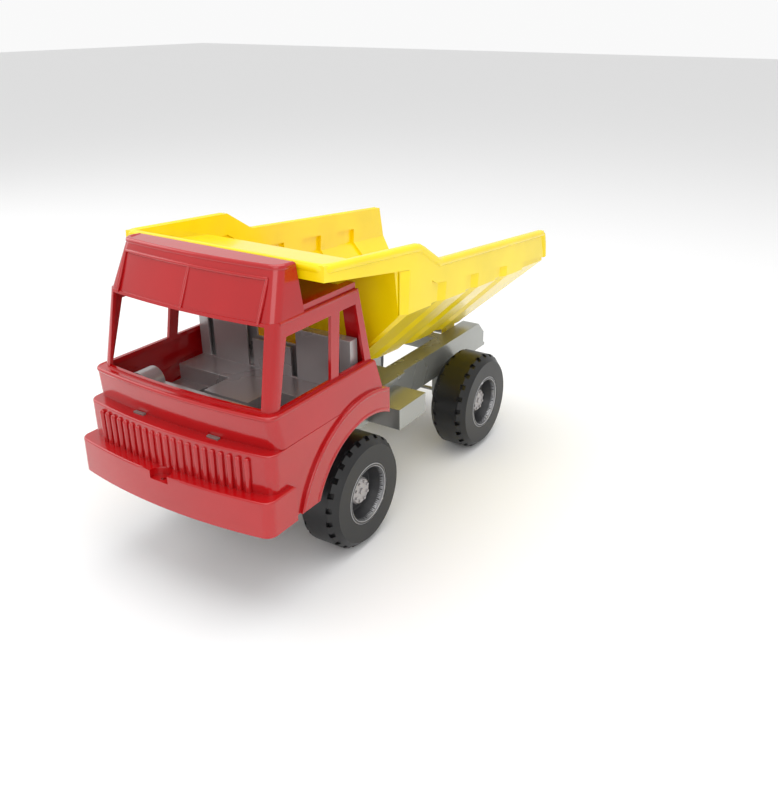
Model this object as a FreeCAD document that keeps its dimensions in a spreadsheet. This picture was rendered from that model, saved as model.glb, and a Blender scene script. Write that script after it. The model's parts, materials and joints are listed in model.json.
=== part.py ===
import FreeCAD, Part
import math
import os
import re
import Sketcher

# Toy dump truck, millimetres. The truck's nose points along -Y, +X is its left side and +Z is up.
# The origin is on the ground, under the middle of the truck's length and width.

os.makedirs("parts", exist_ok=True)
doc = FreeCAD.newDocument("toy_dump_truck")
sheet = doc.addObject("Spreadsheet::Sheet", "dims")

# ---------------------------------------------------------------- driving dimensions
# Distances ahead of or behind the front axle are measured along Y, heights from the ground.
DIMENSIONS = {
    # overall
    "truck_length": 466.0, "nose_reach": 138.0, "wheelbase": 216.0,
    # wheels and axles: places along X are measured outwards from the tyre's middle
    "tyre_radius": 50.0, "tyre_width": 40.0, "wheel_face": 98.0, "shoulder_width": 7.0,
    "shoulder_drop": 6.5, "lug_depth": 2.6, "lug_gap": 5.0, "lug_length": 9.0, "lug_count": 24.0,
    "rim_radius": 27.2, "rim_ring": 3.0, "rim_dish": 14.5, "rim_web": 2.5, "rim_barrel": 12.0,
    "dish_radius": 20.0, "hub_radius": 12.0, "hub_height": 6.5, "hub_wall": 2.4,
    "hub_stud": 1.3, "hub_stud_circle": 8.6, "sleeve_radius": 7.0,
    "axle_radius": 2.0, "axle_overhang": 2.7, "cap_radius": 5.0, "cap_height": 2.2,
    "running_gap": 0.05, "fit_gap": 0.4, "seat_gap": 0.1,
    # chassis
    "rail_top": 105.0, "rail_height": 30.0, "rail_inner": 30.0, "rail_outer": 50.0, "rail_front": 100.0,
    "rail_rear": 303.0, "rail_chamfer": 13.0, "rail_lip": 3.0, "chassis_wall": 3.0,
    "platform_rear": 130.0, "platform_half": 53.0, "wing_half": 87.0,
    "wing_rear": 78.0, "bracket_width": 10.0, "bracket_inset": 2.0, "axle_boss": 8.0,
    "step_half": 85.0, "step_front": 69.0, "step_length": 46.0, "step_height": 20.0, "step_drop": 8.0,
    "crossbar_place": 225.0, "crossbar_width": 15.0,
    # cab shell
    "cab_wall": 2.5, "skirt_bottom": 78.0, "corner_radius": 9.0,
    "bumper_half": 100.5, "bumper_front": 129.5, "bumper_bow": 8.5, "bumper_top": 107.2,
    "bumper_lean": 0.5, "bumper_rear": 97.0,
    "grille_half": 96.0, "grille_front": 118.0, "grille_bow": 8.0, "ledge_top": 138.6,
    "panel_half": 95.8, "panel_front": 107.5, "panel_bow": 6.5,
    "belt_half": 92.5, "belt_front": 111.5, "belt_bow": 6.0, "belt_top": 165.0, "belt_rear": 20.0,
    "cab_rear": 33.0, "ledge_rear": 27.0,
    "pillar_half": 89.0, "pillar_front": 106.0, "pillar_bow": 5.0, "roof_half": 85.0,
    "roof_front": 93.0, "roof_top": 228.0, "roof_rear": 9.0, "roof_rib": 5.0, "roof_rib_width": 8.0,
    "visor_half": 78.5, "visor_front": 77.0, "visor_bow": 4.0, "visor_rear": 58.0, "visor_top": 265.0,
    "screen_half": 79.0, "screen_top_half": 77.0, "sill_lift": 1.5, "window_top": 216.5,
    "window_front": 96.0, "window_front_top": 81.0, "post_front": 35.0, "post_front_top": 28.0,
    "post_rear": 25.0, "post_rear_top": 17.0, "quarter_rear": 11.0, "quarter_rear_top": 4.0,
    "rear_window_half": 69.0, "rear_window_sill": 150.0,
    "arch_radius": 72.0, "flare_radius": 93.0, "flare_depth": 12.0, "flare_half": 98.0,
    "grille_ribs": 21.0, "rib_span": 152.0, "rib_radius": 2.3, "rib_gap": 6.0,
    "tow_radius": 9.5, "tow_inset": 2.0, "tow_depth": 6.5, "tow_hole": 2.0, "tow_eye_shift": -3.0,
    "tab_place": 39.0, "tab_width": 11.0, "tab_thickness": 3.0,
    "post_radius": 5.0, "screw_place": 40.0, "screw_radius": 1.6, "screw_head": 3.4, "screw_length": 18.0,
    "cab_post_height": 24.0,
    # seat moulding
    "seat_wall": 2.0, "seat_half": 83.0, "seat_shelf": 125.0, "seat_rear": 9.0, "seat_top": 141.0,
    "seat_depth": 39.0, "seat_back": 10.0, "well_outer": 52.0, "seat_back_top": 186.0, "notch_half": 22.0, "notch_top": 168.0,
    "console_half": 24.0, "console_front": 60.0, "dash_top": 153.0, "dash_front": 100.0,
    "dash_rear": 82.0, "hood_radius": 11.0, "hood_place": 54.0,
    # tipping tub, in its own frame: heights above the hinge, places along the floor from the hinge
    "tub_pitch": 4.5, "hinge_inset": 50.0, "hinge_height": 92.0, "tub_half": 104.5, "tub_band": 3.5,
    "band_height": 20.0, "tail_band": 29.0, "tub_wall": 2.5, "floor_half": 35.0, "floor_height": 20.0,
    "floor_tail": 4.0, "crease_height": 89.0, "rim_height": 145.0, "notch_height": 127.0,
    "tail_height": 123.0, "tail_inset": 10.0, "tub_reach": 344.5, "front_foot": 232.5, "front_head": 254.5,
    "shoulder_place": 224.5, "notch_place": 190.5, "canopy_height": 127.0,
    "canopy_taper": 7.0, "canopy_rise": 6.0,
    "tub_rib": 3.5, "tub_rib_width": 37.0, "tub_rib_pitch": 62.0, "tub_rib_count": 4.0,
    "tub_rib_first": 239.0, "rod_radius": 2.5, "lug_radius": 9.0, "lug_width": 6.0, "lug_place": 20.0,
    "rod_boss": 7.5,
}
for row, (alias, value) in enumerate(DIMENSIONS.items(), start=1):
    sheet.set("A%d" % row, alias)
    sheet.set("B%d" % row, repr(value))
    sheet.setAlias("B%d" % row, alias)
doc.recompute()

WORD = re.compile(r"\b(%s)\b" % "|".join(sorted(DIMENSIONS, key=len, reverse=True)))
AXES = {"X": FreeCAD.Vector(1, 0, 0), "Y": FreeCAD.Vector(0, 1, 0), "Z": FreeCAD.Vector(0, 0, 1)}

# places that several pieces share
FRONT_AXLE = "(nose_reach - truck_length / 2)"
REAR_AXLE = "(nose_reach - truck_length / 2 + wheelbase)"
AXLE_PLACES = {"front": FRONT_AXLE, "rear": REAR_AXLE}
HINGE = "(truck_length / 2 - hinge_inset)"
TYRE_MIDDLE = "(wheel_face - tyre_width / 2)"
WEB_FACE = "(tyre_width / 2 - rim_dish)"
TAIL = "((hinge_inset - crease_height * sin(tub_pitch * 1 deg)) / cos(tub_pitch * 1 deg))"


def bind(text):
    """The expression with each dimension's name pointing at the sheet."""
    return WORD.sub(r"dims.\1", str(text))


def value_of(text):
    return float(sheet.evalExpression(bind(text)))


def ahead(text):
    """A place along Y, given as a distance ahead of the front axle."""
    return "(%s - (%s))" % (FRONT_AXLE, text)


def behind(text):
    """A place along Y, given as a distance behind the front axle."""
    return "(%s + (%s))" % (FRONT_AXLE, text)


# ---------------------------------------------------------------- building blocks
def sketch_outline(body, name, role, outline, offset="0", arcs=()):
    """Closed outline whose points are bound to the sheet.

    arcs maps a point's index to the radius of the arc that leaves it, bulging to the right of travel.
    """
    sketch = body.newObject("Sketcher::SketchObject", name)
    plane = [item for item in body.Origin.OriginFeatures if item.Role == role][0]
    sketch.AttachmentSupport = [(plane, "")]
    sketch.MapMode = "FlatFace"
    sketch.setExpression("AttachmentOffset.Base.z", bind(offset))
    arcs = dict(arcs)
    points = [FreeCAD.Vector(value_of(across), value_of(along), 0) for across, along in outline]
    count = len(points)
    for index, start in enumerate(points):
        end = points[(index + 1) % count]
        if index not in arcs:
            sketch.addGeometry(Part.LineSegment(start, end))
            continue
        radius = value_of(arcs[index])
        chord = end - start
        right = FreeCAD.Vector(chord.y, -chord.x, 0).normalize()
        rise = radius - math.sqrt(radius * radius - chord.Length * chord.Length / 4)
        sketch.addGeometry(Part.Arc(start, (start + end) * 0.5 + right * rise, end))
    for index in range(count):
        sketch.addConstraint(Sketcher.Constraint("Coincident", index, 2, (index + 1) % count, 1))
    for index, place in enumerate(outline):
        for kind, text in zip(("DistanceX", "DistanceY"), place):
            number = sketch.addConstraint(Sketcher.Constraint(kind, -1, 1, index, 1, value_of(text)))
            sketch.setExpression("Constraints[%d]" % number, bind(text))
    for index, radius in arcs.items():
        number = sketch.addConstraint(Sketcher.Constraint("Radius", index, value_of(radius)))
        sketch.setExpression("Constraints[%d]" % number, bind(radius))
    return sketch


def prism(name, role, outline, length, start=None):
    """Straight pad of an outline: about its plane, or from start along the plane's normal."""
    body = doc.addObject("PartDesign::Body", name)
    sketch = sketch_outline(body, name + "_outline", role, outline, start or "0")
    pad = body.newObject("PartDesign::Pad", name + "_pad")
    pad.Profile = sketch
    pad.SideType = "Symmetric" if start is None else "One side"
    pad.setExpression("Length", bind(length))
    return body


def turned(name, outline):
    """Solid of revolution about X: outline points are (place along X, radius)."""
    body = doc.addObject("PartDesign::Body", name)
    sketch = sketch_outline(body, name + "_outline", "XY_Plane", outline)
    spin = body.newObject("PartDesign::Revolution", name + "_spin")
    spin.Profile = sketch
    spin.ReferenceAxis = (sketch, ["H_Axis"])
    spin.Angle = 360
    return body


def bowed_loft(name, levels, corner):
    """Ruled loft of plan outlines with rounded front corners and a bowed front.

    Each level is (height, half width, front, bow, rear); front is where the bow meets the corners.
    """
    body = doc.addObject("PartDesign::Body", name)
    sketches = []
    for index, (height, half, front, bow, rear) in enumerate(levels):
        slope = "(2 * atan((%s) / (%s)))" % (bow, half)
        reach = "(%s - %s * (1 - sin(%s)))" % (half, corner, slope)
        corner_start = "(%s + %s * cos(%s))" % (front, corner, slope)
        bow_radius = "((%s^2 + (%s)^2) / (2 * (%s)))" % (reach, bow, bow)
        outline = [("-" + half, corner_start), ("-" + reach, front), (reach, front),
                   (half, corner_start), (half, rear), ("-" + half, rear)]
        sketches.append(sketch_outline(body, "%s_level_%d" % (name, index), "XY_Plane", outline,
                                       height, {0: corner, 1: bow_radius, 2: corner}))
    loft = body.newObject("PartDesign::AdditiveLoft", name + "_loft")
    loft.Profile = sketches[0]
    loft.Sections = sketches[1:]
    loft.Ruled = True
    return body


def box(name, low, size):
    item = doc.addObject("Part::Box", name)
    for letter, text in zip("xyz", low):
        item.setExpression("Placement.Base." + letter, bind(text))
    for side, text in zip(("Length", "Width", "Height"), size):
        item.setExpression(side, bind(text))
    return item


def cylinder(name, radius, length, low, axis="Z"):
    item = doc.addObject("Part::Cylinder", name)
    item.Placement.Rotation = FreeCAD.Rotation(AXES["Z"], AXES[axis])
    item.setExpression("Radius", bind(radius))
    item.setExpression("Height", bind(length))
    for letter, text in zip("xyz", low):
        item.setExpression("Placement.Base." + letter, bind(text))
    return item


def ball(name, radius, centre):
    item = doc.addObject("Part::Sphere", name)
    item.setExpression("Radius", bind(radius))
    for letter, text in zip("xyz", centre):
        item.setExpression("Placement.Base." + letter, bind(text))
    return item


def fuse(name, items):
    item = doc.addObject("Part::MultiFuse", name)
    item.Shapes = items
    return item


def common(name, items):
    item = doc.addObject("Part::MultiCommon", name)
    item.Shapes = items
    return item


def cut(name, base, tools):
    item = doc.addObject("Part::Cut", name)
    item.Base = base
    item.Tool = tools[0] if len(tools) == 1 else fuse(name + "_tools", tools)
    return item


def both_sides(name, source):
    """A piece on the +X side, and its mirror image on the other."""
    image = doc.addObject("Part::Mirroring", name + "_mirror")
    image.Source = source
    image.Normal = AXES["X"]
    return [source, image]


def group(name, items):
    item = doc.addObject("Part::Compound", name)
    item.Links = items
    return item


def place(item, low, turn=0):
    """Moves a finished item, after turning it about Z."""
    item.Placement.Rotation = FreeCAD.Rotation(AXES["Z"], turn)
    for letter, text in zip("xyz", low):
        item.setExpression("Placement.Base." + letter, bind(text))
    return item


nodes = {}


def node(name, item):
    """Registers a finished sub-part: its Label is its node's name."""
    item.Label = name
    nodes[name] = item
    return item


# ---------------------------------------------------------------- cab shell
def cab_form(name, wall, drop):
    """The cab's outside form, with its faces moved in by wall and its lower blocks carried down."""
    def inside(text):
        return "(%s - %s)" % (text, wall)

    foot = "(skirt_bottom - %s)" % drop
    corner = inside("corner_radius")
    bumper = bowed_loft(name + "_bumper", [
        (foot, inside("bumper_half"), ahead(inside("bumper_front")), "bumper_bow", ahead("bumper_rear")),
        (inside("bumper_top"), inside("bumper_half"), ahead(inside("bumper_front - bumper_lean")),
         "bumper_bow", ahead("bumper_rear"))], corner)
    grille = bowed_loft(name + "_grille", [
        (foot, inside("grille_half"), ahead(inside("grille_front")), "grille_bow",
         behind(inside("cab_rear"))),
        (inside("ledge_top"), inside("grille_half"), ahead(inside("grille_front")), "grille_bow",
         behind(inside("ledge_rear")))], corner)
    panel = bowed_loft(name + "_panel", [
        (inside("ledge_top - cab_wall"), inside("panel_half"), ahead(inside("panel_front")), "panel_bow",
         behind(inside("ledge_rear"))),
        (inside("belt_top"), inside("belt_half"), ahead(inside("belt_front")), "belt_bow",
         behind(inside("belt_rear")))], corner)
    saloon = bowed_loft(name + "_saloon", [
        (inside("belt_top - cab_wall"), inside("pillar_half"), ahead(inside("pillar_front")), "pillar_bow",
         behind(inside("belt_rear"))),
        (inside("roof_top"), inside("roof_half"), ahead(inside("roof_front")), "pillar_bow",
         behind(inside("roof_rear")))], corner)
    visor = bowed_loft(name + "_visor", [
        (inside("roof_top - cab_wall"), inside("roof_half"), ahead(inside("roof_front")), "pillar_bow",
         ahead("visor_rear + " + wall)),
        (inside("visor_top"), inside("visor_half"), ahead(inside("visor_front")), "visor_bow",
         ahead("visor_rear + " + wall))], corner)
    return fuse(name, [bumper, grille, panel, saloon, visor])


def flare_ring(name, wall):
    """The raised band round one wheel arch."""
    reach = "(flare_half - flare_depth)"
    ring = cut(name + "_ring",
               cylinder(name + "_outer", "flare_radius - " + wall, "flare_depth - " + wall,
                        (reach, FRONT_AXLE, "tyre_radius"), "X"),
               [cylinder(name + "_inner", "arch_radius + " + wall, "flare_depth",
                         (reach, FRONT_AXLE, "tyre_radius"), "X")])
    window = box(name + "_window", (reach, ahead("flare_radius"), "skirt_bottom - %s * 2" % wall),
                 ("flare_depth", "flare_radius + cab_rear - " + wall, "flare_radius"))
    return common(name, [ring, window])


def grille_face(across):
    """Where the bowed grille's face stands at a distance across the truck."""
    radius = "((grille_half^2 + grille_bow^2) / (2 * grille_bow))"
    return ahead("grille_front + grille_bow - %s + sqrt(%s^2 - (%s)^2)" % (radius, radius, across))


def cab_shell():
    outer = cab_form("cab_outer", "0", "0")
    inner = cab_form("cab_inner", "cab_wall", "cab_wall * 2")
    ribs = []
    for index in range(int(DIMENSIONS["grille_ribs"])):
        across = "(rib_span * (%d / (grille_ribs - 1) - 0.5))" % index
        top = "ledge_top - rib_gap"
        ribs.append(cylinder("grille_rib_%d" % index, "rib_radius", top + " - bumper_top + cab_wall / 2",
                             (across, grille_face(across), "bumper_top - cab_wall / 2")))
        ribs.append(ball("grille_rib_top_%d" % index, "rib_radius", (across, grille_face(across), top)))
    roof_ribs = both_sides("roof_rib", box(
        "roof_rib", ("roof_half - roof_rib_width - 2", ahead("visor_rear + cab_wall"), "roof_top - 1"),
        ("roof_rib_width", "visor_rear + cab_wall + roof_rear - 1", "roof_rib + 1")))
    flares = both_sides("flare", flare_ring("flare", "0"))
    tow_centre = ("0", ahead("nose_reach - tow_inset"), "bumper_top - tow_depth - cab_wall")
    tow_cup = common("tow_cup", [outer, cylinder("tow_cup_wall", "tow_radius + cab_wall", "tow_depth + cab_wall",
                                                 tow_centre)])
    shell = cut("cab_hollow", fuse("cab_solid", [outer] + flares),
                [inner] + both_sides("flare_hollow", flare_ring("flare_hollow", "cab_wall")))
    posts = [cylinder("cab_post_%d" % side, "post_radius", "cab_post_height",
                      ("%d * screw_place" % side, behind("cab_rear - cab_wall - post_radius + 1"),
                       "rail_top + fit_gap"))
             for side in (-1, 1)]
    whole = fuse("cab_whole", [shell, tow_cup] + roof_ribs + ribs + posts)
    reach = "bumper_half * 2 + 10"
    sill = "belt_top + sill_lift"
    windscreen = prism("windscreen", "XZ_Plane", [
        ("-screen_half", sill), ("screen_half", sill), ("screen_top_half", "roof_top - cab_wall"),
        ("-screen_top_half", "roof_top - cab_wall")], "45", "-" + ahead("visor_front"))
    front_window = prism("front_window", "YZ_Plane", [
        (ahead("window_front"), sill), (ahead("post_front"), sill),
        (ahead("post_front_top"), "window_top"), (ahead("window_front_top"), "window_top")], reach)
    quarter_window = prism("quarter_window", "YZ_Plane", [
        (ahead("post_rear"), sill), (behind("quarter_rear"), sill),
        (behind("quarter_rear_top"), "window_top"), (ahead("post_rear_top"), "window_top")], reach)
    rear_window = box("rear_window", ("-rear_window_half", behind("roof_rear - cab_wall - 2"),
                                      "rear_window_sill"),
                      ("rear_window_half * 2", "30", "window_top - rear_window_sill"))
    arches = both_sides("arch", cylinder("arch", "arch_radius", "bumper_half",
                                         ("platform_half + 4", FRONT_AXLE, "tyre_radius"), "X"))
    tow = [cylinder("tow_pocket", "tow_radius", "tow_depth + 1",
                    ("0", ahead("nose_reach - tow_inset"), "bumper_top - tow_depth")),
           cylinder("tow_eye", "tow_hole", "cab_wall * 4",
                    ("0", ahead("nose_reach - tow_inset + tow_eye_shift"),
                     "bumper_top - tow_depth - cab_wall * 2"))]
    slots = both_sides("tab_slot", box(
        "tab_slot", ("tab_place - tab_width / 2 - fit_gap", tab_place_y() + " - fit_gap",
                     "ledge_top - cab_wall * 2"),
        ("tab_width + fit_gap * 2", "tab_thickness + fit_gap * 2", "cab_wall * 3")))
    screw_holes = [cylinder("cab_screw_hole_%d" % side, "screw_radius", "screw_length",
                            ("%d * screw_place" % side, behind("cab_rear - cab_wall - post_radius + 1"),
                             "rail_top"))
                   for side in (-1, 1)]
    chassis_notch = box("chassis_notch", ("-platform_half - fit_gap", behind("cab_rear - cab_wall * 3"),
                                          "skirt_bottom - 1"),
                        ("(platform_half + fit_gap) * 2", "cab_wall * 4",
                         "rail_top + fit_gap - skirt_bottom + 1"))
    return cut("cab_shell", whole, [windscreen, front_window, quarter_window, rear_window, chassis_notch]
               + arches + tow + slots + screw_holes)


def tab_place_y():
    """The front face of the two tongues that come up through the cab's ledge."""
    return ahead("panel_front + panel_bow + tab_thickness - 0.5")


# ---------------------------------------------------------------- chassis
def chassis_frame():
    pieces = []
    hollows = []
    rear = behind("rail_rear")
    foot = "rail_top - rail_height"
    for name, wall in (("rail", "0"), ("rail_hollow", "chassis_wall")):
        low = foot if wall == "0" else foot + " - 1"
        profile = [(ahead("rail_front - " + wall), low), (rear + " - " + wall, low),
                   (rear + " - " + wall, "rail_top - rail_chamfer"),
                   (rear + " - rail_chamfer - " + wall, "rail_top - " + wall),
                   (ahead("rail_front - " + wall), "rail_top - " + wall)]
        width = "rail_outer - rail_inner - 2 * " + wall
        rail = prism(name, "YZ_Plane", profile, width, "rail_inner + " + wall)
        (pieces if wall == "0" else hollows).extend(both_sides(name, rail))
    lip = box("rail_lip", ("rail_inner", rear + " - 1", foot),
              ("rail_outer - rail_inner", "rail_lip + 1", "rail_lip"))
    pieces += both_sides("rail_lip", lip)
    pieces.append(box("platform", ("-platform_half", ahead("rail_front"), "rail_top - chassis_wall"),
                      ("platform_half * 2", "rail_front + platform_rear", "chassis_wall")))
    wing_front = "(grille_front - cab_wall - fit_gap)"
    pieces.append(box("wing", ("-wing_half", ahead(wing_front), "rail_top - chassis_wall"),
                      ("wing_half * 2", wing_front + " - wing_rear", "chassis_wall")))
    pieces.append(box("crossbar", ("-rail_inner - 1", behind("crossbar_place"), "rail_top - crossbar_width"),
                      ("rail_inner * 2 + 2", "crossbar_width", "crossbar_width")))
    tabs = box("tab", ("tab_place - tab_width / 2", tab_place_y(), "rail_top - chassis_wall"),
               ("tab_width", "tab_thickness", "ledge_top - rail_top + chassis_wall + 1"))
    pieces += both_sides("tab", tabs)
    step_top = "rail_top - step_drop"
    step = box("step", ("rail_outer - chassis_wall", behind("step_front"), step_top + " - step_height"),
               ("step_half - rail_outer + chassis_wall", "step_length", "step_height"))
    step_hollow = box("step_hollow", ("rail_outer", behind("step_front + chassis_wall"),
                                      step_top + " - step_height - 1"),
                      ("step_half - rail_outer - chassis_wall", "step_length - chassis_wall * 2",
                       "step_height - chassis_wall + 1"))
    pieces += both_sides("step", step)
    hollows += both_sides("step_hollow", step_hollow)
    brackets = []
    bores = []
    for name, axle in AXLE_PLACES.items():
        low = "rail_outer - bracket_inset - bracket_width"
        brackets += both_sides(name + "_bracket", fuse(name + "_bracket", [
            box(name + "_bracket_web", (low, axle + " - axle_boss", "tyre_radius"),
                ("bracket_width", "axle_boss * 2", "rail_top - tyre_radius - 1")),
            cylinder(name + "_bracket_boss", "axle_boss", "bracket_width", (low, axle, "tyre_radius"), "X")]))
        bores.append(cylinder(name + "_axle_bore", "axle_radius + running_gap", "rail_outer * 2 + 10",
                              ("-rail_outer - 5", axle, "tyre_radius"), "X"))
    hinge_bosses = both_sides("hinge_boss", cylinder(
        "hinge_boss", "rod_boss", "rail_outer - rail_inner",
        ("rail_inner", HINGE, "hinge_height"), "X"))
    bores.append(cylinder("rod_bore", "rod_radius + running_gap", "(rail_outer - chassis_wall) * 2",
                          ("-(rail_outer - chassis_wall)", HINGE, "hinge_height"), "X"))
    for side in (-1, 1):
        bores.append(cylinder("platform_hole_%d" % side, "screw_radius + fit_gap", "chassis_wall * 3",
                              ("%d * screw_place" % side,
                               behind("cab_rear - cab_wall - post_radius + 1"),
                               "rail_top - chassis_wall * 2")))
        bores.append(cylinder("screw_access_%d" % side, "screw_head + fit_gap", "rail_height",
                              ("%d * screw_place" % side,
                               behind("cab_rear - cab_wall - post_radius + 1"),
                               "rail_top - rail_height - chassis_wall")))
    body = cut("chassis_body", fuse("chassis_solid", pieces), hollows)
    return cut("chassis_frame", fuse("chassis_whole", [body] + brackets + hinge_bosses), bores)


# ---------------------------------------------------------------- seat moulding
def seat_form(name, wall):
    """Pan, seat, seat back, console and dash as one form, with its faces moved in by wall."""
    def block(part, half, front, rear, top, low):
        return box("%s_%s" % (name, part), ("-(%s - %s)" % (half, wall), "%s + %s" % (front, wall),
                                            "%s - %s / 2" % (low, wall)),
                   ("(%s - %s) * 2" % (half, wall), "(%s) - (%s) - 2 * %s" % (rear, front, wall),
                    "%s - (%s) - %s / 2" % (top, low, wall)))

    rear = behind("seat_rear")
    seat_front = behind("seat_rear - seat_depth")
    foot = "(rail_top + fit_gap)"
    return [
        block("pan", "well_outer", ahead("dash_front"), rear, "(seat_shelf + seat_wall)", foot),
        block("seat", "seat_half", seat_front, rear, "seat_top", "seat_shelf"),
        block("back", "seat_half", behind("seat_rear - seat_back"), rear, "seat_back_top", "seat_shelf"),
        block("console", "console_half", ahead("console_front"), rear, "seat_top", foot),
        block("dash", "seat_half - 6", ahead("dash_front"), ahead("dash_rear"), "dash_top", "seat_shelf"),
    ]


def seat_moulding():
    shelf = box("seat_shelf_plate", ("-seat_half", ahead("dash_front"), "seat_shelf"),
                ("seat_half * 2", "dash_front + seat_rear", "seat_wall"))
    wells = []
    well_hollows = []
    for name, wall, pieces in (("well", "0", wells), ("well_hollow", "seat_wall", well_hollows)):
        height = "seat_shelf + seat_wall - rail_top - fit_gap - %s%s" % (wall, "" if wall == "0" else " + 1")
        pieces += both_sides(name, box(
            name, ("console_half - seat_wall + " + wall, ahead("dash_rear - " + wall),
                   "rail_top + fit_gap + " + wall),
            ("well_outer - console_half + seat_wall - 2 * " + wall,
             "dash_rear + seat_rear - seat_depth - 2 * " + wall, height)))
    hood = cylinder("hood", "hood_radius", "dash_front - dash_rear",
                    ("-hood_place", ahead("dash_front"), "dash_top"), "Y")
    hood_bore = cylinder("hood_bore", "hood_radius - seat_wall * 2", "dash_front - dash_rear",
                         ("-hood_place", ahead("dash_front - seat_wall * 3"), "dash_top"), "Y")
    notch = box("back_notch", ("-notch_half", behind("seat_rear - seat_back - 1"), "notch_top"),
                ("notch_half * 2", "seat_back + 2", "seat_back_top"))
    grooves = []
    for side in (-1, 1):
        for edge, out in (("inner", "notch_half + 2"), ("outer", "notch_half + 47")):
            grooves.append(box("back_groove_%s_%d" % (edge, side),
                               ("%d * (%s) - 3" % (side, out), behind("seat_rear - seat_back - 1"),
                                "seat_top + 1"), ("6", "6", "seat_back_top")))
    moulding = cut("seat_open", fuse("seat_solid", seat_form("seat_outer", "0") + [shelf]),
                   seat_form("seat_inner", "seat_wall"))
    return cut("seat_moulding", fuse("seat_whole", [moulding, hood] + wells),
               well_hollows + [hood_bore, notch] + grooves)


# ---------------------------------------------------------------- tipping tub
def tub_form(name, wall, rib, top):
    """The tub's form in its own frame, with its faces moved in by wall."""
    run = "(%s)" % TAIL
    slope = "((tub_half - floor_half) / (crease_height - floor_height))"
    inset = "(%s * sqrt(1 + %s^2) - %s * %s)" % (wall, slope, wall, slope)
    side = prism(name + "_side", "YZ_Plane", [
        ("-(front_foot - %s)" % wall, "floor_height + " + wall),
        ("floor_tail" if wall == "0" else run + " + 20", "floor_height + " + wall),
        (run if wall == "0" else run + " + 40", "crease_height"),
        (run + (" - tail_inset" if wall == "0" else " + 40"), "tail_height + " + top),
        ("-notch_place", "notch_height + " + top),
        ("-shoulder_place", "rim_height + " + top),
        ("-(tub_reach - %s)" % wall, "rim_height + " + top),
        ("-(tub_reach - %s)" % wall, "canopy_height + canopy_rise + " + wall),
        ("-(front_head - %s)" % wall, "canopy_height + " + wall)],
        "tub_half * 2 + 40")
    floor = "(floor_half - %s + %s)" % (inset, rib)
    flank = "(tub_half - %s + %s)" % (wall, rib)
    section = prism(name + "_section", "XZ_Plane", [
        ("-" + floor, "floor_height + " + wall), (floor, "floor_height + " + wall),
        (flank, "crease_height"), (flank, "rim_height + 30"),
        ("-" + flank, "rim_height + 30"), ("-" + flank, "crease_height")],
        "truck_length * 2")
    return [side, section, tub_plan(name + "_plan", flank)]


def tub_plan(name, half):
    """Block that narrows the tub towards the front, over the cab."""
    return prism(name, "XY_Plane", [
        ("-(%s - canopy_taper)" % half, "-tub_reach"), (half + " - canopy_taper", "-tub_reach"),
        (half, "-shoulder_place"), (half, "tub_half"), ("-" + half, "tub_half"),
        ("-" + half, "-shoulder_place")], "rim_height * 2", "0")


def rib_slabs(name, wall):
    slabs = []
    for index in range(int(DIMENSIONS["tub_rib_count"])):
        slabs.append(box("%s_%d" % (name, index),
                         ("-tub_half - 20", "-(tub_rib_first - tub_rib_pitch * %d) + %s" % (index, wall),
                          "floor_height"),
                         ("tub_half * 2 + 40", "tub_rib_width - 2 * " + wall, "rim_height")))
    return fuse(name, slabs)


def dump_tub():
    outer = common("tub_outer", tub_form("tub_plain", "0", "0", "0"))
    inner = common("tub_inner", tub_form("tub_hollow", "tub_wall", "0", "20"))
    outer_ribs = common("tub_outer_ribs", tub_form("tub_ribs", "0", "tub_rib", "0")
                        + [rib_slabs("tub_rib_slabs", "0")])
    inner_ribs = common("tub_inner_ribs", tub_form("tub_rib_hollow", "tub_wall", "tub_rib", "-band_height")
                        + [rib_slabs("tub_rib_hollow_slabs", "tub_wall")])
    run = "(%s)" % TAIL
    band = common("tub_rim", [tub_plan("tub_rim_plan", "(tub_half + tub_band)"), prism(
        "tub_rim_side", "YZ_Plane", [
        ("-tub_reach", "canopy_height + canopy_rise"), ("-shoulder_place - 4", "rim_height - band_height"),
        ("-notch_place - 4", "notch_height - band_height"), (run + " - 2", "tail_height - tail_band"),
        (run + " - tail_inset", "tail_height"), ("-notch_place", "notch_height"),
        ("-shoulder_place", "rim_height"), ("-tub_reach", "rim_height")],
        "(tub_half + tub_band) * 2")])
    lugs = both_sides("lug", fuse("lug", [
        box("lug_web", ("lug_place - lug_width / 2", "-lug_radius * 1.6", "0"),
            ("lug_width", "lug_radius * 1.6 + floor_tail", "floor_height + tub_wall / 2")),
        cylinder("lug_eye", "lug_radius", "lug_width", ("lug_place - lug_width / 2", "0", "0"), "X")]))
    bore = cylinder("lug_bore", "rod_radius + running_gap", "lug_place * 4", ("-lug_place * 2", "0", "0"), "X")
    tub = cut("dump_tub", fuse("tub_solid", [outer, outer_ribs, band] + lugs), [inner, inner_ribs, bore])
    tub.Placement.Rotation = FreeCAD.Rotation(AXES["X"] * -1, DIMENSIONS["tub_pitch"])
    tub.setExpression("Placement.Rotation.Angle", bind("tub_pitch * 1 deg"))
    tub.setExpression("Placement.Base.y", bind(HINGE))
    tub.setExpression("Placement.Base.z", bind("hinge_height"))
    return tub


def hinge_rod():
    ends = "(rail_outer - chassis_wall - seat_gap)"
    return cylinder("tub_hinge_rod", "rod_radius", ends + " * 2", ("-" + ends, HINGE, "hinge_height"), "X")


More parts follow.
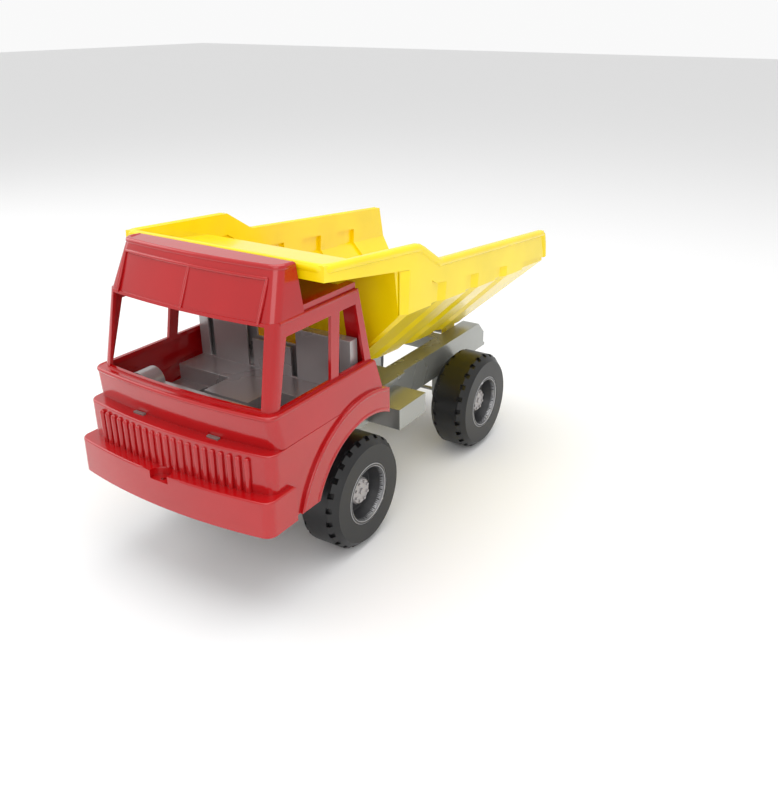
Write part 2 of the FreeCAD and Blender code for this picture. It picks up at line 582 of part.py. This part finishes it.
# ---------------------------------------------------------------- wheels
def wheel_forms():
    """One tyre, rim and hub cap about X, with the outer side along +X."""
    half = "tyre_width / 2"
    bore = "rim_radius + seat_gap"
    shoulder = "(tyre_width / 2 - shoulder_width)"
    tread = turned("tyre_form", [
        ("-" + half, bore), (half, bore), (half, "tyre_radius - shoulder_drop"),
        (shoulder, "tyre_radius"), ("-" + shoulder, "tyre_radius"),
        ("-(%s)" % half, "tyre_radius - shoulder_drop")])
    notches = []
    count = int(DIMENSIONS["lug_count"])
    for index in range(count):
        for side in (-1, 1):
            turn = math.radians(360.0 * (index + (0.5 if side > 0 else 0.0)) / count)
            notch = doc.addObject("Part::Box", "notch_%d_%d" % (index, side))
            notch.setExpression("Length", bind("lug_length + 1"))
            notch.setExpression("Width", bind("lug_gap"))
            notch.setExpression("Height", bind("lug_depth * 3"))
            notch.Placement.Rotation = FreeCAD.Rotation(AXES["X"], math.degrees(turn))
            inner = "%s - lug_length" % half if side > 0 else "-(%s) - 1" % half
            reach = "(tyre_radius - lug_depth)"
            notch.setExpression("Placement.Base.x", bind(inner))
            notch.setExpression("Placement.Base.y", bind("%s * %.9f - lug_gap / 2 * %.9f"
                                                         % (reach, -math.sin(turn), math.cos(turn))))
            notch.setExpression("Placement.Base.z", bind("%s * %.9f - lug_gap / 2 * %.9f"
                                                         % (reach, math.cos(turn), math.sin(turn))))
            notches.append(notch)
    tyre = cut("tyre_cut", tread, [group("tread_notches", notches)])
    bore = "axle_radius + running_gap"
    rim = turned("rim_form", [
        ("-" + half, bore), (WEB_FACE, bore), (WEB_FACE, "dish_radius"),
        (half + " - 2", "rim_radius - rim_ring"), (half, "rim_radius - rim_ring"), (half, "rim_radius"),
        ("-rim_barrel", "rim_radius"), ("-rim_barrel", "rim_radius - 2.5"),
        (WEB_FACE + " - rim_web", "dish_radius + 1"), (WEB_FACE + " - rim_web", "sleeve_radius"),
        ("-" + half, "sleeve_radius")])
    hub = turned("hub_form", [
        (WEB_FACE + " + seat_gap", "hub_radius - hub_wall"), (WEB_FACE + " + seat_gap", "hub_radius"),
        (WEB_FACE + " + hub_height - 1.5", "hub_radius"), (WEB_FACE + " + hub_height", "hub_radius - 1.5"),
        (WEB_FACE + " + hub_height", "0"), (WEB_FACE + " + hub_height - hub_wall", "0"),
        (WEB_FACE + " + hub_height - hub_wall", "hub_radius - hub_wall")])
    studs = [cylinder("hub_boss", "hub_stud * 2.2", "hub_stud + 1", (WEB_FACE + " + hub_height - 1", "0", "0"),
                      "X")]
    for index in range(8):
        turn = math.radians(45 * index + 22.5)
        studs.append(cylinder("hub_stud_%d" % index, "hub_stud", "hub_stud + 1",
                              (WEB_FACE + " + hub_height - 1", "hub_stud_circle * %.9f" % math.cos(turn),
                               "hub_stud_circle * %.9f" % math.sin(turn)), "X"))
    return {"tyre": tyre, "wheel_rim": rim, "hub_cap": fuse("hub_whole", [hub] + studs)}


def axle_pieces():
    caps = []
    reach = "(%s + %s + axle_overhang)" % (TYRE_MIDDLE, WEB_FACE)
    for name, axle in AXLE_PLACES.items():
        node(name + "_axle", cylinder(name + "_axle", "axle_radius", reach + " * 2",
                                      ("-" + reach, axle, "tyre_radius"), "X"))
        seat = ("%s + %s + fit_gap" % (TYRE_MIDDLE, WEB_FACE), axle, "tyre_radius")
        caps += both_sides(name + "_axle_cap", cut(
            name + "_axle_cap", cylinder(name + "_cap_disc", "cap_radius", "cap_height", seat, "X"),
            [cylinder(name + "_cap_seat", "axle_radius", "cap_height", seat, "X")]))
    node("axle_push_caps", group("axle_push_caps", caps))


def cab_screws():
    screws = []
    for side in (-1, 1):
        spot = ("%d * screw_place" % side, behind("cab_rear - cab_wall - post_radius + 1"))
        head_low = "rail_top - chassis_wall - fit_gap"
        screws.append(fuse("cab_screw_%d" % side, [
            cylinder("screw_shank_%d" % side, "screw_radius", "screw_length - 1", spot + (head_low,)),
            cylinder("screw_head_%d" % side, "screw_head", "2", spot + (head_low + " - 2",))]))
    return group("cab_screws", screws)


# ---------------------------------------------------------------- assembly
node("chassis_frame", chassis_frame())
node("cab_shell", cab_shell())
node("seat_moulding", seat_moulding())
node("dump_tub", dump_tub())
node("tub_hinge_rod", hinge_rod())
axle_pieces()
node("cab_screws", cab_screws())
forms = wheel_forms()
for end, axle in AXLE_PLACES.items():
    for side, sign, turn in (("left", "", 0), ("right", "-", 180)):
        for piece, form in forms.items():
            name = "%s_%s_%s" % (piece, end, side)
            node(name, place(group(name, [form]), (sign + TYRE_MIDDLE, axle, "tyre_radius"), turn))

# ---------------------------------------------------------------- checks and export
doc.recompute()
for item in doc.Objects:
    for state in ("Invalid", "Error"):
        if state in item.State:
            raise RuntimeError("%s is %s" % (item.Name, state))
for name, item in nodes.items():
    shape = item.Shape
    if shape.isNull() or not shape.isValid() or not shape.Solids:
        raise RuntimeError("%s has no valid solid" % name)
    shape.exportStep("parts/%s.step" % name)
    bounds = shape.BoundBox
    print("%-22s %d solid(s) %9.1f mm3  x %.1f..%.1f y %.1f..%.1f z %.1f..%.1f" % (
        name, len(shape.Solids), shape.Volume, bounds.XMin, bounds.XMax, bounds.YMin, bounds.YMax,
        bounds.ZMin, bounds.ZMax))
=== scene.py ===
import json
import math

import bmesh
import bpy
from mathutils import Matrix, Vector

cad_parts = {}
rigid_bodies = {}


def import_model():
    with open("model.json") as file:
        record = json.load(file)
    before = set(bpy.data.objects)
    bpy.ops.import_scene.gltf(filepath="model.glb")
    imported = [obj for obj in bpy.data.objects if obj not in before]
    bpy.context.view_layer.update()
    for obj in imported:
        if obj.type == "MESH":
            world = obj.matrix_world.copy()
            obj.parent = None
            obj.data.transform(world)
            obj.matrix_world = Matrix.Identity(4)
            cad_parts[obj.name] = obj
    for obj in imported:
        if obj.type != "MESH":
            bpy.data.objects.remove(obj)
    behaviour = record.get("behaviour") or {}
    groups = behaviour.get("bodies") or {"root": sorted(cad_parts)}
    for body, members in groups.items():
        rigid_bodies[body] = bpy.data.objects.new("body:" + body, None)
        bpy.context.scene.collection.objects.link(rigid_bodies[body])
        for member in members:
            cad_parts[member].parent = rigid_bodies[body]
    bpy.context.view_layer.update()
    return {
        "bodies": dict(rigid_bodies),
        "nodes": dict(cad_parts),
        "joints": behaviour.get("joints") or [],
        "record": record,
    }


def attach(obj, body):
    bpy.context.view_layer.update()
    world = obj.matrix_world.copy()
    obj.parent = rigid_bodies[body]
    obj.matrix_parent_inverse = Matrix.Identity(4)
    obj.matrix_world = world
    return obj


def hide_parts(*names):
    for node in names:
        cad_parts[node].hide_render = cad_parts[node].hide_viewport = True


bl_info = {
    "name": "Toy dump truck",
    "version": (1, 0, 0),
    "blender": (4, 5, 0),
    "location": "View3D > Sidebar > Truck",
    "description": "Builds the moulded looks of a toy dump truck round its CAD frame",
    "category": "Object",
}

MM = 0.001
FRONT_AXLE = -95.0
TUB_HINGE = (183.0, 92.0)
TUB_PITCH = math.radians(4.5)
AXLE_HEIGHT = 50.0
REAR_AXLE = 121.0
# plan of the cab at each level: half width, front edge ahead of the axle, bow of the front
CAB_LEVELS = {107.2: (100.5, 129.0, 8.5), 138.6: (96.0, 118.0, 8.0), 165.0: (92.5, 111.5, 6.0),
              265.0: (78.5, 77.0, 4.0)}
CAB_CORNER = 9.0
BUMPER_TOP, LEDGE_TOP = 107.2, 138.6
TOW_RECESS_HALF = 13.0
# DISH_RADIUS and DISH_OUTSIDE pick the wheel dish faces that get painted shade
DISH_RADIUS = 23.6
DISH_OUTSIDE = 80.0
TUB_FLOOR, TUB_CREASE = 20.0, 89.0
FLOOR_HALF, TUB_HALF = 35.0, 104.5
RIB_STARTS = tuple(-239.0 + 62.0 * index for index in range(4))
RIB_WIDTH = 37.0
RIB_RISE = 3.5
FRAME = {}


# ---------------------------------------------------------------- settings
class TRUCK_PG_moulding(bpy.types.PropertyGroup):
    """Edge rounding of the moulded pieces."""

    cab_edge: bpy.props.FloatProperty(
        name="Cab edge", description="Edge rounding of the cab", default=1.5 * MM, unit="LENGTH")
    rib_front: bpy.props.FloatProperty(
        name="Rib front", description="Length of the slope at a rib's front", default=10.0 * MM,
        unit="LENGTH")
    rib_rear: bpy.props.FloatProperty(
        name="Rib rear", description="Length of the slope at a rib's rear", default=4.0 * MM, unit="LENGTH")
    chassis_edge: bpy.props.FloatProperty(
        name="Chassis edge", description="Edge rounding of the chassis", default=0.8 * MM, unit="LENGTH")
    seat_edge: bpy.props.FloatProperty(
        name="Seat edge", description="Edge rounding of the seat moulding", default=1.0 * MM, unit="LENGTH")
    wheel_edge: bpy.props.FloatProperty(
        name="Wheel edge", description="Edge rounding of tyres, rims and hubs", default=0.7 * MM,
        unit="LENGTH")
    fixing_edge: bpy.props.FloatProperty(
        name="Fixing edge", description="Edge rounding of rods, caps and screws", default=0.3 * MM,
        unit="LENGTH")


class TRUCK_PG_studio(bpy.types.PropertyGroup):
    """Camera, floor and light."""

    focal_length: bpy.props.FloatProperty(
        name="Focal length", description="Camera focal length in millimetres", default=38.27)
    key_power: bpy.props.FloatProperty(
        name="Key light", description="Power of the large overhead light in watts", default=13.0)
    fill_power: bpy.props.FloatProperty(
        name="Fill light", description="Power of the side lights in watts", default=5.0)
    sky: bpy.props.FloatProperty(
        name="Surround", description="Brightness of the plain surround", default=0.8)


# ---------------------------------------------------------------- materials
def plastic(name, colour, roughness, metallic=0.0, coat=0.0, waviness=0.0, cell=18.0, grain=0.0):
    """Moulded plastic: a slight change of shade and sheen, and shallow waves from the mould."""
    found = bpy.data.materials.get(name)
    if found:
        return found
    mat = bpy.data.materials.new(name)
    mat.use_nodes = True
    tree = mat.node_tree
    shader = tree.nodes["Principled BSDF"]
    shader.inputs["Metallic"].default_value = metallic
    shader.inputs["Coat Weight"].default_value = coat
    shader.inputs["Coat Roughness"].default_value = 0.06
    place = tree.nodes.new("ShaderNodeTexCoord")
    mottle = tree.nodes.new("ShaderNodeTexNoise")
    mottle.inputs["Scale"].default_value = cell
    mottle.inputs["Detail"].default_value = 3.0
    tree.links.new(place.outputs["Object"], mottle.inputs["Vector"])
    shade = tree.nodes.new("ShaderNodeValToRGB")
    shade.color_ramp.elements[0].position = 0.3
    shade.color_ramp.elements[1].position = 0.7
    shade.color_ramp.elements[0].color = [c * 0.93 for c in colour] + [1.0]
    shade.color_ramp.elements[1].color = [min(1.0, c * 1.05) for c in colour] + [1.0]
    tree.links.new(mottle.outputs["Fac"], shade.inputs["Fac"])
    tree.links.new(shade.outputs["Color"], shader.inputs["Base Color"])
    sheen = tree.nodes.new("ShaderNodeMapRange")
    sheen.inputs["To Min"].default_value = roughness * 0.85
    sheen.inputs["To Max"].default_value = roughness * 1.2
    tree.links.new(mottle.outputs["Fac"], sheen.inputs["Value"])
    tree.links.new(sheen.outputs["Result"], shader.inputs["Roughness"])
    if waviness or grain:
        wave = tree.nodes.new("ShaderNodeTexNoise")
        wave.inputs["Scale"].default_value = 45.0 if waviness else 900.0
        wave.inputs["Detail"].default_value = 1.0
        tree.links.new(place.outputs["Object"], wave.inputs["Vector"])
        bump = tree.nodes.new("ShaderNodeBump")
        bump.inputs["Strength"].default_value = waviness or grain
        bump.inputs["Distance"].default_value = 1.0 * MM if waviness else 0.1 * MM
        tree.links.new(wave.outputs["Fac"], bump.inputs["Height"])
        tree.links.new(bump.outputs["Normal"], shader.inputs["Normal"])
    return mat


def red():
    return plastic("red_gloss", (0.43, 0.003, 0.005), 0.16, coat=0.45, waviness=0.1)


def yellow():
    return plastic("yellow_gloss", (0.95, 0.72, 0.0), 0.24, coat=0.2, waviness=0.12)


def silver():
    return plastic("silver_satin", (0.38, 0.39, 0.37), 0.26, metallic=0.6, coat=0.2, waviness=0.1)


def grey():
    return plastic("grey_satin", (0.42, 0.4, 0.4), 0.28, metallic=0.5, coat=0.2, waviness=0.3)


def black():
    return plastic("tyre_black", (0.006, 0.006, 0.0065), 0.38, grain=0.2)


def hub_silver():
    return plastic("hub_silver", (0.42, 0.42, 0.43), 0.28, metallic=0.7, coat=0.1)


# Painted shade: a near-black material stands in for the shadow in a wheel's recessed dish.
def dish_painted_shade():
    return plastic("dish_painted_shade", (0.03, 0.03, 0.032), 0.35)


def steel():
    return plastic("drawn_steel", (0.45, 0.45, 0.45), 0.3, metallic=1.0, grain=0.1)


# ---------------------------------------------------------------- mesh helpers
def cad_copy(node):
    """The node's mesh as one closed skin, with flat areas as single faces."""
    mesh = bmesh.new()
    mesh.from_mesh(FRAME["nodes"][node].data)
    bmesh.ops.remove_doubles(mesh, verts=mesh.verts, dist=0.002 * MM)
    bmesh.ops.dissolve_degenerate(mesh, edges=mesh.edges, dist=0.002 * MM)
    bmesh.ops.dissolve_limit(mesh, angle_limit=math.radians(0.4), verts=mesh.verts, edges=mesh.edges,
                             use_dissolve_boundaries=False)
    return mesh


def round_edges(mesh, width, segments=2, sharp=28.0, pick=None, clamp=False):
    """Rounds the edges that turn by more than sharp degrees; pick may choose among them."""
    edges = [edge for edge in mesh.edges
             if len(edge.link_faces) == 2 and math.degrees(edge.calc_face_angle(0.0)) > sharp
             and (pick is None or pick(edge))]
    if edges:
        bmesh.ops.bevel(mesh, geom=edges, offset=width, offset_type="OFFSET", segments=segments,
                        profile=0.5, affect="EDGES", clamp_overlap=clamp, material=-1)


def plan_outline(half, front, bow, corner, rear, inset=0.0):
    """Plan points, in millimetres, from the left rear corner round the bowed front to the right one."""
    slope = 2.0 * math.atan(bow / half)
    half, front, corner = half - inset, front - inset, corner - inset
    reach = half - corner * (1.0 - math.sin(slope))
    start = FRONT_AXLE - front + corner * math.cos(slope)
    centre = (half - corner, start)
    radius = (reach * reach + bow * bow) / (2.0 * bow)
    middle = FRONT_AXLE - front - bow + radius
    turn = math.atan2(FRONT_AXLE - front - start, reach - centre[0])
    side = [(half, rear)]
    side += [(centre[0] + corner * math.cos(turn * step / 6), centre[1] + corner * math.sin(turn * step / 6))
             for step in range(7)]
    spread = math.asin(reach / radius)
    nose = [(radius * math.sin(spread * step / 12), middle - radius * math.cos(spread * step / 12))
            for step in range(11, -12, -1)]
    return side + nose + [(-x, y) for x, y in reversed(side)]


def sweep(mesh, path, radius, sides=12):
    """Adds a round bead along a path of points in millimetres, closed at both ends."""
    path = [Vector(point) * MM for point in path]
    rings = []
    for index, point in enumerate(path):
        ahead = path[min(index + 1, len(path) - 1)] - path[max(index - 1, 0)]
        turn = ahead.to_track_quat("Z", "Y").to_matrix()
        ends = index in (0, len(path) - 1)
        rings.append([mesh.verts.new(point + turn @ Vector((
            math.cos(2 * math.pi * side / sides), math.sin(2 * math.pi * side / sides), 0.0))
            * radius * MM * (0.8 if ends else 1.0)) for side in range(sides)])
    for low, high in zip(rings, rings[1:]):
        shift = min(range(sides), key=lambda k: (high[k].co - low[0].co - (path[rings.index(high)]
                                                 - path[rings.index(low)])).length)
        for side in range(sides):
            after = (side + 1) % sides
            mesh.faces.new((low[side], low[after], high[(after + shift) % sides],
                            high[(side + shift) % sides]))
    mesh.faces.new(rings[0])
    mesh.faces.new(rings[-1])


def beads(name, paths, radius, mat, body):
    """One piece made of several beads."""
    mesh = bmesh.new()
    for path in paths:
        sweep(mesh, path, radius)
    return finished(mesh, name, mat, body)


def from_tub(x, y, z):
    """A point of the tub's own frame, in the truck's frame."""
    return (x, TUB_HINGE[0] + y * math.cos(TUB_PITCH) + z * math.sin(TUB_PITCH),
            TUB_HINGE[1] - y * math.sin(TUB_PITCH) + z * math.cos(TUB_PITCH))


def band_foot(along):
    """Height of the lower edge of the tub's rim band at a place along the tub."""
    if along < -228.5:
        return 125.0
    if along < -194.5:
        return 125.0 - 18.0 * (along + 228.5) / 34.0
    return 107.0 - 13.0 * (along + 194.5) / 236.0


def rib_slope(mesh, side, place, lean):
    """Adds the slope by which the tub's side rises to a rib, over a length of lean millimetres."""
    rows = []
    heights = (20.2, 45.0, 60.0, 75.0, 89.0, None)
    for height in heights:
        row = []
        for along, rise in ((place - lean, -0.4), (place, RIB_RISE - 0.05), (place, -0.4)):
            z = band_foot(along) + 0.6 if height is None else height
            along = max(along, -232.3 - 22.0 * (z - 20.0) / 107.0)
            flank = min(z, TUB_CREASE) - TUB_FLOOR
            half = FLOOR_HALF + flank * (TUB_HALF - FLOOR_HALF) / (TUB_CREASE - TUB_FLOOR)
            row.append(mesh.verts.new([MM * value for value in from_tub(side * (half + rise), along, z)]))
        rows.append(row)
    for low, high in zip(rows, rows[1:]):
        for start, end in ((0, 1), (1, 2), (2, 0)):
            mesh.faces.new((low[start], low[end], high[end], high[start]))
    mesh.faces.new(rows[0])
    mesh.faces.new(rows[-1])


def finished(mesh, name, mat, body, nodes=(), smooth=40.0):
    """Turns a bmesh into a shown piece that rides on a body."""
    bmesh.ops.recalc_face_normals(mesh, faces=mesh.faces)
    for face in mesh.faces:
        face.smooth = True
    for edge in mesh.edges:
        edge.smooth = not (len(edge.link_faces) == 2
                           and math.degrees(edge.calc_face_angle(0.0)) > smooth)
    data = bpy.data.meshes.new(name)
    mesh.to_mesh(data)
    mesh.free()
    data.materials.append(mat)
    piece = bpy.data.objects.new(name, data)
    bpy.context.scene.collection.objects.link(piece)
    weighted = piece.modifiers.new("even_shading", "WEIGHTED_NORMAL")
    weighted.keep_sharp = True
    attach(piece, body)
    if nodes:
        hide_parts(*nodes)
    return piece


def moulded(node, body, mat, width, segments=2, sharp=28.0):
    """A CAD node's copy with rounded edges, shown in its place."""
    mesh = cad_copy(node)
    round_edges(mesh, width, segments, sharp, clamp=True)
    return finished(mesh, node + "_moulded", mat, body, [node])


def dish_in_shade(rim, axle):
    """Paints shade into the recessed dish inside a wheel's bright ring: its faces get a near-black material
    in place of the shadow there.
    """
    rim.data.materials.append(dish_painted_shade())
    for face in rim.data.polygons:
        reach = math.hypot(face.center.y / MM - axle, face.center.z / MM - AXLE_HEIGHT)
        if reach < DISH_RADIUS and abs(face.center.x) / MM > DISH_OUTSIDE:
            # painted shade on the recessed dish faces
            face.material_index = 1


# ---------------------------------------------------------------- operators
class TRUCK_OT_cab(bpy.types.Operator):
    """Build the red cab shell."""

    bl_idname = "truck.cab"
    bl_label = "Cab"

    def execute(self, context):
        width = context.scene.truck_moulding.cab_edge

        def level(edge):
            if not edge.is_convex or edge.calc_length() < 0.3 * MM:
                return False
            height = min(CAB_LEVELS, key=lambda level: abs(level - edge.verts[0].co.z / MM))
            if any(abs(end.co.z / MM - height) > 0.05 for end in edge.verts):
                return False
            half, front, bow = CAB_LEVELS[height]
            radius = (half * half + bow * bow) / (2.0 * bow)
            for end in edge.verts:
                x, y = end.co.x / MM, end.co.y / MM
                face = FRONT_AXLE - front - bow + radius - math.sqrt(max(radius * radius - x * x, 0.0))
                if abs(abs(x) - half) > CAB_CORNER + 0.5 and abs(y - face) > 1.0:
                    return False
                if height == BUMPER_TOP and abs(x) < TOW_RECESS_HALF:
                    return False
                if height == LEDGE_TOP and y > FRONT_AXLE - 100.0:
                    return False
            return True

        mesh = cad_copy("cab_shell")
        round_edges(mesh, width, 3, 30.0, level)
        finished(mesh, "cab_shell_moulded", red(), "chassis", ["cab_shell"])
        return {"FINISHED"}


class TRUCK_OT_cab_ridges(bpy.types.Operator):
    """Build the raised ridges of the cab: belt, visor, gutters and flares."""

    bl_idname = "truck.cab_ridges"
    bl_label = "Cab ridges"

    def execute(self, context):
        belt = plan_outline(92.5, 111.5, 6.0, CAB_CORNER, FRONT_AXLE + 18.0, 1.2)
        beads("belt_ridge", [[(x, y, 163.6) for x, y in belt]], 1.9, red(), "chassis")
        paths = []
        for side in (-1, 1):
            paths.append([(side * 84.2, FRONT_AXLE - 86.0, 226.9), (side * 84.2, FRONT_AXLE + 8.0, 226.9)])
        beads("roof_gutters", paths, 1.7, red(), "chassis")
        brow = plan_outline(78.5, 77.0, 4.0, CAB_CORNER, FRONT_AXLE - 60.0, 1.2)
        low_brow = plan_outline(80.0, 80.8, 4.2, CAB_CORNER, FRONT_AXLE - 82.0, 0.55)
        beads("visor_brow", [[(x, y, 263.4) for x, y in brow]], 2.6, red(), "chassis")
        frame = [[(x, y, 256.6) for x, y in low_brow if abs(x) < 72.0]]
        for across in (-71.5, 0.0, 71.5):
            lines = []
            for height in (256.6, 242.0, 227.0):
                share = (height - 228.0) / 37.0
                bow = 5.0 - share
                half = 85.0 - 6.5 * share
                radius = (half * half + bow * bow) / (2.0 * bow)
                front = 93.0 - 16.0 * share + bow - radius + math.sqrt(radius * radius - across * across)
                lines.append((across, FRONT_AXLE - front + 0.55, height))
            frame.append(lines)
        beads("visor_frame", frame, 1.5, red(), "chassis")
        arcs = []
        for side in (-1, 1):
            for reach in (90.9, 74.2):
                low, high = math.acos(32.0 / reach), math.pi - math.asin(28.5 / reach)
                arcs.append([(side * 97.3, FRONT_AXLE + reach * math.cos(low + (high - low) * step / 24),
                              50.0 + reach * math.sin(low + (high - low) * step / 24))
                             for step in range(25)])
        beads("flare_ridges", arcs, 1.7, red(), "chassis")
        return {"FINISHED"}


class TRUCK_OT_seat(bpy.types.Operator):
    """Build the grey seat moulding."""

    bl_idname = "truck.seat"
    bl_label = "Seat moulding"

    def execute(self, context):
        moulded("seat_moulding", "chassis", grey(), context.scene.truck_moulding.seat_edge)
        return {"FINISHED"}


class TRUCK_OT_chassis(bpy.types.Operator):
    """Build the silver chassis."""

    bl_idname = "truck.chassis"
    bl_label = "Chassis"

    def execute(self, context):
        moulded("chassis_frame", "chassis", silver(),
                context.scene.truck_moulding.chassis_edge)
        return {"FINISHED"}


class TRUCK_OT_tub(bpy.types.Operator):
    """Build the yellow tipping tub."""

    bl_idname = "truck.tub"
    bl_label = "Tipping tub"

    def execute(self, context):
        mesh = cad_copy("dump_tub")
        finished(mesh, "dump_tub_moulded", yellow(), "tub", ["dump_tub"])
        return {"FINISHED"}


class TRUCK_OT_rib_slopes(bpy.types.Operator):
    """Build the slopes at the front and rear of the tub's ribs."""

    bl_idname = "truck.rib_slopes"
    bl_label = "Rib slopes"

    def execute(self, context):
        moulding = context.scene.truck_moulding
        mesh = bmesh.new()
        for side in (-1, 1):
            for start in RIB_STARTS:
                rib_slope(mesh, side, start, moulding.rib_front / MM)
                if start + RIB_WIDTH + moulding.rib_rear / MM < -1.0:
                    rib_slope(mesh, side, start + RIB_WIDTH, -moulding.rib_rear / MM)
        finished(mesh, "tub_rib_slopes", yellow(), "tub")
        return {"FINISHED"}


class TRUCK_OT_tub_rim(bpy.types.Operator):
    """Build the rolled rim that runs round the top of the tub."""

    bl_idname = "truck.tub_rim"
    bl_label = "Tub rim"

    def execute(self, context):
        side = [(42.0, 94.0), (37.0, 108.0), (33.0, 118.6), (29.0, 120.4), (-185.0, 124.0), (-190.0, 124.2),
                (-196.0, 127.0), (-219.0, 139.0), (-225.0, 141.6), (-231.0, 142.2), (-336.0, 142.2)]
        path = [(106.3 - 7.0 * max(0.0, (-y - 224.5) / 120.0), y, z) for y, z in side]
        path += [(99.8 - 6.0 * (1.0 - math.cos(math.radians(turn))),
                  -336.0 - 6.0 * math.sin(math.radians(turn)), 142.2) for turn in (20, 40, 60, 80, 90)]
        path += [(-x, y, z) for x, y, z in reversed(path)]
        beads("tub_rim_roll", [[from_tub(*point) for point in path]], 3.7, yellow(), "tub")
        return {"FINISHED"}


class TRUCK_OT_fixings(bpy.types.Operator):
    """Build the rods, push caps and screws."""

    bl_idname = "truck.fixings"
    bl_label = "Rods, caps and screws"

    def execute(self, context):
        width = context.scene.truck_moulding.fixing_edge
        for node in ("tub_hinge_rod", "front_axle", "rear_axle", "axle_push_caps", "cab_screws"):
            moulded(node, "chassis", steel(), width)
        return {"FINISHED"}


class TRUCK_OT_wheels(bpy.types.Operator):
    """Build the four wheels."""

    bl_idname = "truck.wheels"
    bl_label = "Wheels"

    def execute(self, context):
        width = context.scene.truck_moulding.wheel_edge
        for end in ("front", "rear"):
            for side in ("left", "right"):
                body = "wheel_%s_%s" % (end, side)
                place = "_%s_%s" % (end, side)
                moulded("tyre" + place, body, black(), width)
                rim = moulded("wheel_rim" + place, body, hub_silver(), width)
                # the rim's recessed dish gets painted shade
                dish_in_shade(rim, FRONT_AXLE if end == "front" else REAR_AXLE)
                moulded("hub_cap" + place, body, grey(), width)
        return {"FINISHED"}


class TRUCK_OT_stage(bpy.types.Operator):
    """Set up the floor, lights and camera."""

    bl_idname = "truck.stage"
    bl_label = "Studio"

    def execute(self, context):
        settings = context.scene.truck_studio
        context.scene.view_settings.view_transform = "Standard"
        world = bpy.data.worlds.new("surround")
        context.scene.world = world
        world.use_nodes = True
        tree = world.node_tree
        tree.nodes["Background"].inputs["Color"].default_value = (1.0, 1.0, 1.0, 1.0)
        seen = tree.nodes.new("ShaderNodeLightPath")
        bright = tree.nodes.new("ShaderNodeMapRange")
        bright.inputs["To Min"].default_value = settings.sky
        bright.inputs["To Max"].default_value = 0.95
        tree.links.new(seen.outputs["Is Camera Ray"], bright.inputs["Value"])
        tree.links.new(bright.outputs["Result"], tree.nodes["Background"].inputs["Strength"])
        mesh = bmesh.new()
        bmesh.ops.create_grid(mesh, x_segments=1, y_segments=1, size=8.0)
        data = bpy.data.meshes.new("floor")
        mesh.to_mesh(data)
        mesh.free()
        pale = bpy.data.materials.new("floor_pale")
        pale.use_nodes = True
        shader = pale.node_tree.nodes["Principled BSDF"]
        shader.inputs["Base Color"].default_value = (0.9, 0.9, 0.9, 1.0)
        shader.inputs["Roughness"].default_value = 0.7
        data.materials.append(pale)
        floor = bpy.data.objects.new("floor", data)
        floor.location.z = -0.0002
        context.scene.collection.objects.link(floor)
        for name, spot, size, power in (
                ("key", (0.1, 0.0, 1.5), 1.6, settings.key_power),
                ("fill_front", (0.9, -1.3, 0.9), 1.0, settings.fill_power),
                ("fill_side", (-1.4, -0.3, 0.9), 1.0, settings.fill_power)):
            lamp = bpy.data.lights.new(name, "AREA")
            lamp.size = size
            lamp.energy = power
            item = bpy.data.objects.new(name, lamp)
            item.location = spot
            item.rotation_euler = (Vector(spot) - Vector((0, 0, 0.1))).to_track_quat("Z", "Y").to_euler()
            context.scene.collection.objects.link(item)
        lens = bpy.data.cameras.new("camera")
        lens.sensor_width = 36.0
        lens.lens = settings.focal_length
        lens.shift_x = -0.0226
        lens.shift_y = -0.0333
        lens.clip_start = 0.02
        lens.clip_end = 50.0
        lens.dof.use_dof = False
        camera = bpy.data.objects.new("camera", lens)
        camera.location = (0.4551, -0.6082, 0.4309)
        aim = Vector((0.0009, 0.1221, 0.060)) - camera.location
        camera.rotation_euler = aim.to_track_quat("-Z", "Y").to_euler()
        context.scene.collection.objects.link(camera)
        context.scene.camera = camera
        return {"FINISHED"}


class TRUCK_PT_panel(bpy.types.Panel):
    """Sidebar panel with one button for each group."""

    bl_idname = "TRUCK_PT_panel"
    bl_label = "Toy dump truck"
    bl_space_type = "VIEW_3D"
    bl_region_type = "UI"
    bl_category = "Truck"

    def draw(self, context):
        for group, settings in (("truck_moulding", TRUCK_PG_moulding), ("truck_studio", TRUCK_PG_studio)):
            for name in settings.__annotations__:
                self.layout.prop(getattr(context.scene, group), name)
        for operator in OPERATORS:
            self.layout.operator(operator.bl_idname)


OPERATORS = (TRUCK_OT_cab, TRUCK_OT_cab_ridges, TRUCK_OT_seat, TRUCK_OT_chassis, TRUCK_OT_tub,
             TRUCK_OT_rib_slopes, TRUCK_OT_tub_rim, TRUCK_OT_fixings, TRUCK_OT_wheels, TRUCK_OT_stage)
CLASSES = (TRUCK_PG_moulding, TRUCK_PG_studio) + OPERATORS + (TRUCK_PT_panel,)


def register():
    for cls in CLASSES:
        bpy.utils.register_class(cls)
    bpy.types.Scene.truck_moulding = bpy.props.PointerProperty(type=TRUCK_PG_moulding)
    bpy.types.Scene.truck_studio = bpy.props.PointerProperty(type=TRUCK_PG_studio)


def unregister():
    del bpy.types.Scene.truck_studio
    del bpy.types.Scene.truck_moulding
    for cls in reversed(CLASSES):
        bpy.utils.unregister_class(cls)


def main():
    register()
    FRAME.update(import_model())
    bpy.ops.truck.cab()
    bpy.ops.truck.cab_ridges()
    bpy.ops.truck.seat()
    bpy.ops.truck.chassis()
    bpy.ops.truck.tub()
    bpy.ops.truck.rib_slopes()
    bpy.ops.truck.tub_rim()
    bpy.ops.truck.fixings()
    bpy.ops.truck.wheels()
    bpy.ops.truck.stage()


if __name__ == "__main__":
    main()
